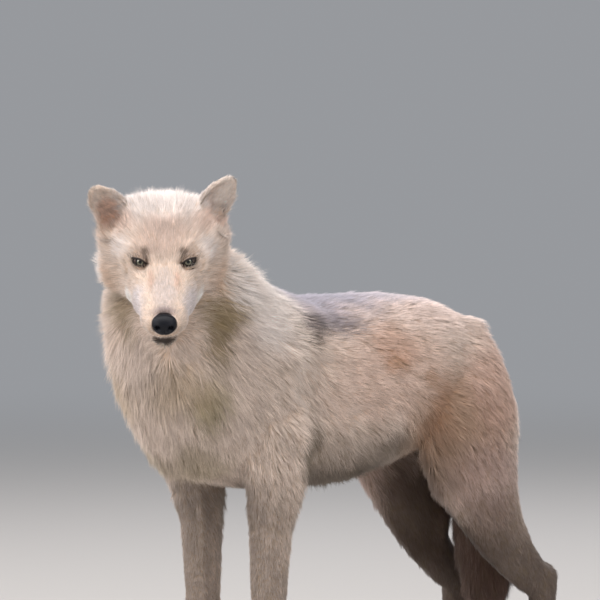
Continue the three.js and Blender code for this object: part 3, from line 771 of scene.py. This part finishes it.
for side, centre in eyes.items():
    ball = bmesh.new()
    bmesh.ops.create_uvsphere(ball, u_segments=48, v_segments=32, radius=EYE_RADIUS)
    for vertex in ball.verts:
        share = 1 - vertex.co.angle(Vector((0, 0, 1)), 0) / CORNEA_HALF_ANGLE
        if share > 0:
            vertex.co *= 1 + CORNEA_RISE / EYE_RADIUS * share * (2 - share)
    eyeball = add_object(f"eyeball_{side}", smooth_mesh(f"eyeball_{side}", ball, eye_glass))
    eyeball.matrix_world = Matrix.Translation(centre) @ gaze_turn
    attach(eyeball, "root")
    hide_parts(f"eye_{side}")

# ----------------------------------------
# Nose. A pad of bare black leather, pebbled and damp, with two comma-shaped nostrils that open to the sides
# and a groove down the middle.
# ----------------------------------------

NOSE_MIDDLE = np.array((0, -270, -6))  # this and the rest in mm in the head's frame
NOSE_HALF = np.array((20.5, 14.5, 16))
NOSTRIL = np.array((10.5, -283, -6))
NOSTRIL_DEPTH = 7.5
SLIT_DEPTH = 3.5
RIM_HEIGHT = 0.9
GROOVE_DEPTH = 1.6
PEBBLE = 1.25 * MM
DRY_PATCH = 8.33 * MM

pad = bmesh.new()
bmesh.ops.create_icosphere(pad, subdivisions=6, radius=1)
ball = np.array([v.co for v in pad.verts])
boxy = np.sign(ball) * np.abs(ball) ** 0.8
taper = 1 - 0.22 * np.clip(-ball[:, 2:3], 0, 1)
shape = boxy * NOSE_HALF
shape[:, :1] *= taper
shape[:, 1] += 3.0 * ball[:, 2] * (ball[:, 1] < 0)
nose = shape + NOSE_MIDDLE
for side in (1, -1):
    hole = NOSTRIL * (side, 1, 1)
    away = nose - hole
    # A round hole, a slit that runs out of it to the side, and a raised rim, by their half widths in mm.
    round_part = np.exp(-((away[:, 0] / 4.2) ** 2 + (away[:, 2] / 3.6) ** 2) ** 1.5)
    slit = np.exp(-(((away[:, 0] * side - 6) / 6) ** 2 + ((away[:, 2] + 3.5) / 1.6) ** 2) ** 1.5)
    rim = np.exp(-((np.hypot(away[:, 0], away[:, 2]) - 6.5) / 2.2) ** 2)
    front = ball[:, 1] < -0.1
    nose[:, 1] += front * (NOSTRIL_DEPTH * round_part + SLIT_DEPTH * slit - RIM_HEIGHT * rim * (1 - slit))
groove = np.exp(-((nose[:, 0] / 1.0) ** 2)) * (ball[:, 1] < 0) * smooth_step(-ball[:, 2], -0.3, 0.3)
nose[:, 1] += GROOVE_DEPTH * groove
for vertex, spot in zip(pad.verts, from_home(nose * MM, HEAD)):
    vertex.co = spot

# Damp leather: near black with a faint blue painted in as reflected light, its highlight broken up by pebbles
# and duller in dry patches.
nose_leather, tree, shader = new_material("damp_nose_leather")
place = add_node(tree, "TexCoord").outputs["Object"]
pebbles = add_node(tree, "TexVoronoi", {"Vector": place, "Scale": 1 / PEBBLE}, feature="F1")
patches = add_node(tree, "TexNoise", {"Vector": place, "Scale": 1 / DRY_PATCH, "Detail": 3})
leather = add_node(
    tree, "Mix", {"Factor": patches.outputs["Fac"], "A": linear("#03050c"), "B": linear("#0a0e1c")},
    data_type="RGBA",
)
grain = add_node(tree, "Bump", {"Height": pebbles.outputs["Distance"], "Strength": 0.45, "Distance": 0.0006})
grain.invert = True
damp = add_node(tree, "MapRange", {"Value": patches.outputs["Fac"], "To Min": 0.4, "To Max": 0.58})
tree.links.new(leather.outputs["Result"], shader.inputs["Base Color"])
tree.links.new(grain.outputs["Normal"], shader.inputs["Normal"])
tree.links.new(damp.outputs["Result"], shader.inputs["Roughness"])
shader.inputs["Specular IOR Level"].default_value = 0.3
nose_pad = add_object("nose_pad", smooth_mesh("nose_pad", pad, nose_leather))
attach(nose_pad, "root")
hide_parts("nose")

# ----------------------------------------
# Claws. Sixteen curved, tapering horns, dark and worn smooth, one at the end of each toe.
# ----------------------------------------

CLAW_ROOT_RADIUS = 0.0036
CLAW_TIP_RADIUS = 0.0003
CLAW_RINGS = 9
CLAW_SIDES = 12
GROWTH_MARK = 2 * MM

# Worn horn: dark brown, mottled and faintly uneven as it grew, and only half glossy.
horn, tree, shader = new_material("worn_claw_horn")
place = add_node(tree, "TexCoord").outputs["Object"]
growth = add_node(tree, "TexNoise", {"Vector": place, "Scale": 1 / GROWTH_MARK, "Detail": 2})
horn_tone = add_node(
    tree, "Mix", {"Factor": growth.outputs["Fac"], "A": linear("#2b211c"), "B": linear("#5a4a3f")},
    data_type="RGBA",
)
ridges = add_node(tree, "Bump", {"Height": growth.outputs["Fac"], "Strength": 0.2, "Distance": 0.0005})
tree.links.new(horn_tone.outputs["Result"], shader.inputs["Base Color"])
tree.links.new(ridges.outputs["Normal"], shader.inputs["Normal"])
shader.inputs["Roughness"].default_value = 0.42

for name in sorted(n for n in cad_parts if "claw" in n):
    low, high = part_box(name)
    length, drop = high.y - low.y, high.z - low.z
    middle_x = (low.x + high.x) / 2
    rings = []
    for k in range(CLAW_RINGS):
        t = k / (CLAW_RINGS - 1)
        centre = Vector((middle_x, high.y - length * t, high.z - 0.3 * drop - 0.55 * drop * t**2.2))
        radius = CLAW_ROOT_RADIUS * (1 - t**1.6) + CLAW_TIP_RADIUS
        rings.append([
            centre + Vector((math.cos(a) * radius * 0.75, 0, math.sin(a) * radius))
            for a in (2 * math.pi * i / CLAW_SIDES for i in range(CLAW_SIDES))
        ])
    claw = bmesh.new()
    loops = [[claw.verts.new(p) for p in ring] for ring in rings]
    for lower, upper in zip(loops, loops[1:]):
        for i in range(CLAW_SIDES):
            j = (i + 1) % CLAW_SIDES
            claw.faces.new((lower[i], lower[j], upper[j], upper[i]))
    claw.faces.new(loops[0])
    claw.faces.new(loops[-1])
    bmesh.ops.recalc_face_normals(claw, faces=claw.faces)
    piece = add_object("horn_" + name, smooth_mesh("horn_" + name, claw, horn))
    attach(piece, "root")
    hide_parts(name)

# ----------------------------------------
# Coat. About three hundred and fifty thousand tapering tufts of hair, rooted in the skin and drawn together
# into locks, longest on the neck and tail and only a few millimetres long on the face and feet.
# ----------------------------------------

COAT_PIECE_LIMIT = 195_000  # triangles
BARE_SOLES = 0.006  # m up from the floor
BARE_LIDS = 0.0032  # m from their slit
BARE_LIPS = 1.8  # mm from the line of the mouth
BARE_ROUND_NOSE = 1.0  # mm
draw = np.random.default_rng(11)

# An unwrap of the skin's own shape, on which each tuft has its root.
bpy.context.view_layer.objects.active = skin
skin.select_set(True)
skin_mesh.uv_layers.new(name="OFBake")
bpy.ops.object.mode_set(mode="EDIT")
bpy.ops.mesh.select_all(action="SELECT")
bpy.ops.uv.smart_project(angle_limit=math.radians(66), island_margin=0.002)
bpy.ops.object.mode_set(mode="OBJECT")
unwrap = np.empty(len(skin_mesh.loops) * 2)
skin_mesh.uv_layers["OFBake"].data.foreach_get("uv", unwrap)
unwrap = unwrap.reshape(-1, 3, 2)

# Roots, as evenly spread as the table's spacing says, and none where the skin is bare.
corners = points[triangles]
areas = np.linalg.norm(np.cross(corners[:, 1] - corners[:, 0], corners[:, 2] - corners[:, 0]), axis=1) / 2
middles = corners.mean(1)
spacing = coat_at(middles)[1][:, 2]
bare = middles[:, 2] < BARE_SOLES
for side in eye_homes:
    gap, local = lid_gap(middles, side)
    bare |= (gap < BARE_LIDS) & (np.linalg.norm(local, axis=1) < 0.02)
in_head = to_home(middles, HEAD) / MM
bare |= mouth_gap(in_head) < BARE_LIPS
bare |= (np.abs((in_head - NOSE_MIDDLE) / (NOSE_HALF + BARE_ROUND_NOSE)) ** 2.5).sum(1) < 1
total = np.cumsum(np.where(bare, 0, areas / spacing**2))
count = int(total[-1])
picked = np.searchsorted(total, (np.arange(count) + draw.random(count)) * total[-1] / count)
picked = np.minimum(picked, len(total) - 1)
shares = draw.random((count, 2))
shares[shares.sum(1) > 1] = 1 - shares[shares.sum(1) > 1]
shares = np.column_stack((1 - shares.sum(1), shares))
roots = (corners[picked] * shares[:, :, None]).sum(1)
root_normals = unit((normals[triangles[picked]] * shares[:, :, None]).sum(1))
root_uvs = (unwrap[picked] * shares[:, :, None]).sum(1)
lies, sizes, parts = coat_at(roots)
lies = unit(lies - root_normals * (lies * root_normals).sum(1, keepdims=True))
lengths, depths, spacings = sizes.T

# Hairs of two colours mix where the markings meet, more so on the body than on the face.
MIXED_ON_HEAD = 0.0012
MIXED_ON_BODY = 0.006
on_head = np.isin(parts, ("face", "crown", "cheek", "ear"))
mixed = np.where(on_head, MIXED_ON_HEAD, MIXED_ON_BODY)[:, None]
colours = markings_and_shade(roots + draw.normal(size=(count, 3)) * mixed)

# Neighbouring tufts share a lock: the lock's own length, lift and swing, and a line that they lean towards.
LOCK_EVERY = 10
leaders = draw.choice(count, count // LOCK_EVERY, replace=False)
tree_of_leaders = kdtree.KDTree(len(leaders))
for k, leader in enumerate(leaders):
    tree_of_leaders.insert(roots[leader], k)
tree_of_leaders.balance()
lock = np.array([tree_of_leaders.find(root)[1] for root in roots])
lock_length = draw.normal(1, 0.12, len(leaders))[lock]
lock_rise = draw.normal(0, 1, len(leaders))[lock]
lock_swing = draw.normal(0, 0.13, len(leaders))[lock]

longness = smooth_step(lengths, 0.008, 0.04)
swing = lock_swing * (0.6 + 0.6 * longness) + draw.normal(0, 0.14, count)
sideways = np.cross(root_normals, lies)
lies = unit(lies * np.cos(swing)[:, None] + sideways * np.sin(swing)[:, None])
lengths = lengths * np.clip(lock_length, 0.7, 1.35) * np.clip(draw.normal(1, 0.1, count), 0.75, 1.3)
# Hair leaves the skin at a slope that brings its tips near to the coat's depth, and the longest bends over.
TIP_DEPTH = 0.85
lift = np.arcsin(np.clip(depths / lengths * TIP_DEPTH, 0.1, 0.8)) + 0.05 * lock_rise
# Locks that stand out are painted paler and those between them darker, as painted shade between the locks,
# and the sunken ones show the tan of the hair's lower part.
HAIR_TAN_AND_SHADE = "#a8915f"
tone = (1 + 0.09 * lock_rise) * draw.normal(1, np.where(on_head, 0.10, 0.09))
tone *= 1 + 0.05 * mottle(roots, 0.03)
colours = tint(colours, HAIR_TAN_AND_SHADE, np.clip(-lock_rise, 0, 2) * np.where(on_head, 0.03, 0.09))

BENT_TUFT = 0.065  # tufts longer than this have two steps, and so bend once
BEND = 1.1  # of the slope, from the foot to the tip
HALF_WIDTHS = (0.315, 0.36225)  # of the spacing of the tufts, at the foot and at the bend
SUNK_ROOT = 0.02  # of the tuft's length
LOCK_PULL = (0.08, 0.16)  # of short hair, and what long hair adds
PULL_POWER = 1.4
# A coat catches light as one soft body: each tuft's normals lean this far to those of the skin under it.
BODY_SHADING = 0.7
FACE_SHADING = 0.5
PATCH = 0.003  # the width and height of a tuft on the unwrap
SECTION = ((-1, -0.288), (1, -0.288), (0, 0.576))  # a tuft's three edges: across it, and out of the skin
steps_of = np.where(lengths > BENT_TUFT, 2, 1)


def tufts(chosen, steps):
    """Closed, three-sided, tapering tufts: points, triangles, unwrap, colours, place along and normals."""
    root, normal, lie = roots[chosen], root_normals[chosen], lies[chosen]
    size, slope, room = (values[chosen][:, None] for values in (lengths, lift, spacings))
    body = np.where(on_head[chosen], FACE_SHADING, BODY_SHADING)[:, None]
    pull = (LOCK_PULL[0] + LOCK_PULL[1] * longness[chosen])[:, None] * (roots[leaders[lock[chosen]]] - root)
    spot = root - normal * (SUNK_ROOT * size)
    spots, facing = [], []
    for k in range(steps):
        bend = slope * (1 + BEND * (0.5 - (k + 0.5) / steps))
        way = lie * np.cos(bend) + normal * np.sin(bend)
        flat = unit(np.cross(normal, way))
        ridge = unit(np.cross(way, flat))
        middle = spot + pull * (k / steps) ** PULL_POWER
        for side, rise in SECTION:
            spots.append(middle + (flat * side + ridge * rise) * room * HALF_WIDTHS[k])
            facing.append(unit(normal * body + (flat * side + ridge * 0.5) * (1 - body)))
        spot = spot + way * size / steps
    spots.append(spot + pull)
    facing.append(unit(normal * body + ridge * (1 - body)))
    spots = np.stack(spots, 1)
    spots[:, :, 2] = np.maximum(spots[:, :, 2], 0)
    faces = [(0, 2, 1)]
    for low in range(0, 3 * steps - 3, 3):
        for a, b in ((low, low + 1), (low + 1, low + 2), (low + 2, low)):
            faces += [(a, b, b + 3), (a, b + 3, a + 3)]
    last, tip = 3 * steps - 3, 3 * steps
    faces += [(last + i, last + (i + 1) % 3, tip) for i in range(3)]
    faces = np.array(faces) + (np.arange(len(chosen)) * (tip + 1))[:, None, None]
    along = np.array([k // 3 / steps for k in range(tip)] + [1.0])
    across = np.array([side for side, _ in SECTION] * steps + [0])
    uvs = root_uvs[chosen][:, None] + np.stack((across * 0.5, along - 0.5), 1) * PATCH
    shades = np.repeat(colours[chosen] * tone[chosen][:, None], tip + 1, axis=0)
    flat_lists = (spots.reshape(-1, 3), faces.reshape(-1, 3), uvs.reshape(-1, 2), shades)
    return *flat_lists, np.tile(along, len(chosen)), np.stack(facing, 1).reshape(-1, 3)


# Guard hair: dull, with a soft sheen, darker and tan at its root, partly in its own colour and partly as
# painted shade deep in the coat, and streaked along each tuft.
# Some 13 hairs lie side by side in a tuft 1.4 mm wide, so that each is 0.1 mm thick.
HAIRS_IN_TUFT = 13.5
BREAKS_IN_TUFT = 1.62
fur, tree, shader = new_material("wolf_guard_hair")
marking_and_shade = add_node(tree, "Attribute", attribute_name="marking_and_shade")
along_hair = add_node(tree, "Attribute", attribute_name="along")
uv = add_node(tree, "UVMap", uv_map="OFBake")
drawn_out = add_node(
    tree, "Mapping",
    {"Vector": uv.outputs["UV"], "Scale": (HAIRS_IN_TUFT / PATCH, BREAKS_IN_TUFT / PATCH, 1)},
)
strands = add_node(tree, "TexNoise", {"Vector": drawn_out.outputs["Vector"], "Scale": 1, "Detail": 2})
from_root = add_node(tree, "MapRange", {"Value": along_hair.outputs["Fac"], "From Max": 0.6})
root_tan_and_shade = add_node(
    tree, "Mix", {"Factor": from_root.outputs["Result"], "A": linear("#e2d2bd"), "B": linear("#ffffff")},
    data_type="RGBA",
)
strand_shade = add_node(tree, "MapRange", {"Value": strands.outputs["Fac"], "To Min": 0.88, "To Max": 1.12})
rooted = add_node(
    tree, "Mix", {"Factor": 1.0, "A": marking_and_shade.outputs["Color"], "B": root_tan_and_shade.outputs["Result"]},
    data_type="RGBA", blend_type="MULTIPLY",
)
toned = add_node(
    tree, "VectorMath", {0: rooted.outputs["Result"], "Scale": strand_shade.outputs["Result"]},
    operation="SCALE",
)
tree.links.new(toned.outputs["Vector"], shader.inputs["Base Color"])
shader.inputs["Roughness"].default_value = 0.62
shader.inputs["Specular IOR Level"].default_value = 0.35
shader.inputs["Sheen Weight"].default_value = 0.25
shader.inputs["Sheen Roughness"].default_value = 0.4


def coat_piece(name, chosen):
    """One joined mesh of tufts."""
    batches = [tufts(chosen[steps_of[chosen] == k], k) for k in np.unique(steps_of[chosen])]
    spots, faces, uvs, shades, along, facing = (np.concatenate(lists) for lists in zip(*batches))
    # The triangles of a second batch count on from the points of the first.
    faces[len(batches[0][1]) :] += len(batches[0][0])
    mesh = bpy.data.meshes.new(name)
    mesh.vertices.add(len(spots))
    mesh.vertices.foreach_set("co", spots.ravel())
    mesh.loops.add(faces.size)
    mesh.loops.foreach_set("vertex_index", faces.ravel())
    mesh.polygons.add(len(faces))
    mesh.polygons.foreach_set("loop_start", np.arange(len(faces)) * 3)
    mesh.polygons.foreach_set("use_smooth", np.ones(len(faces), bool))
    mesh.update(calc_edges=True)
    mesh.uv_layers.new(name="OFBake")
    mesh.uv_layers["OFBake"].data.foreach_set("uv", uvs[faces.ravel()].ravel())
    paint(mesh, shades)
    mesh.attributes.new("along", "FLOAT", "POINT").data.foreach_set("value", along)
    mesh.normals_split_custom_set_from_vertices(facing)
    mesh.materials.append(fur)
    piece = add_object(name, mesh)
    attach(piece, "root")


# A part with more triangles than one piece may hold is cut across, from front to back.
for part in dict.fromkeys(COAT_PARTS):
    chosen = np.flatnonzero(parts == part)
    chosen = chosen[np.argsort(roots[chosen, 1])]
    so_far = np.cumsum(6 * steps_of[chosen] - 2)
    pieces = math.ceil(so_far[-1] / COAT_PIECE_LIMIT)
    ends = np.searchsorted(so_far, so_far[-1] * np.arange(1, pieces) / pieces)
    for k, some in enumerate(np.split(chosen, ends), 1):
        coat_piece(f"coat_{part}_{k}" if pieces > 1 else f"coat_{part}", some)
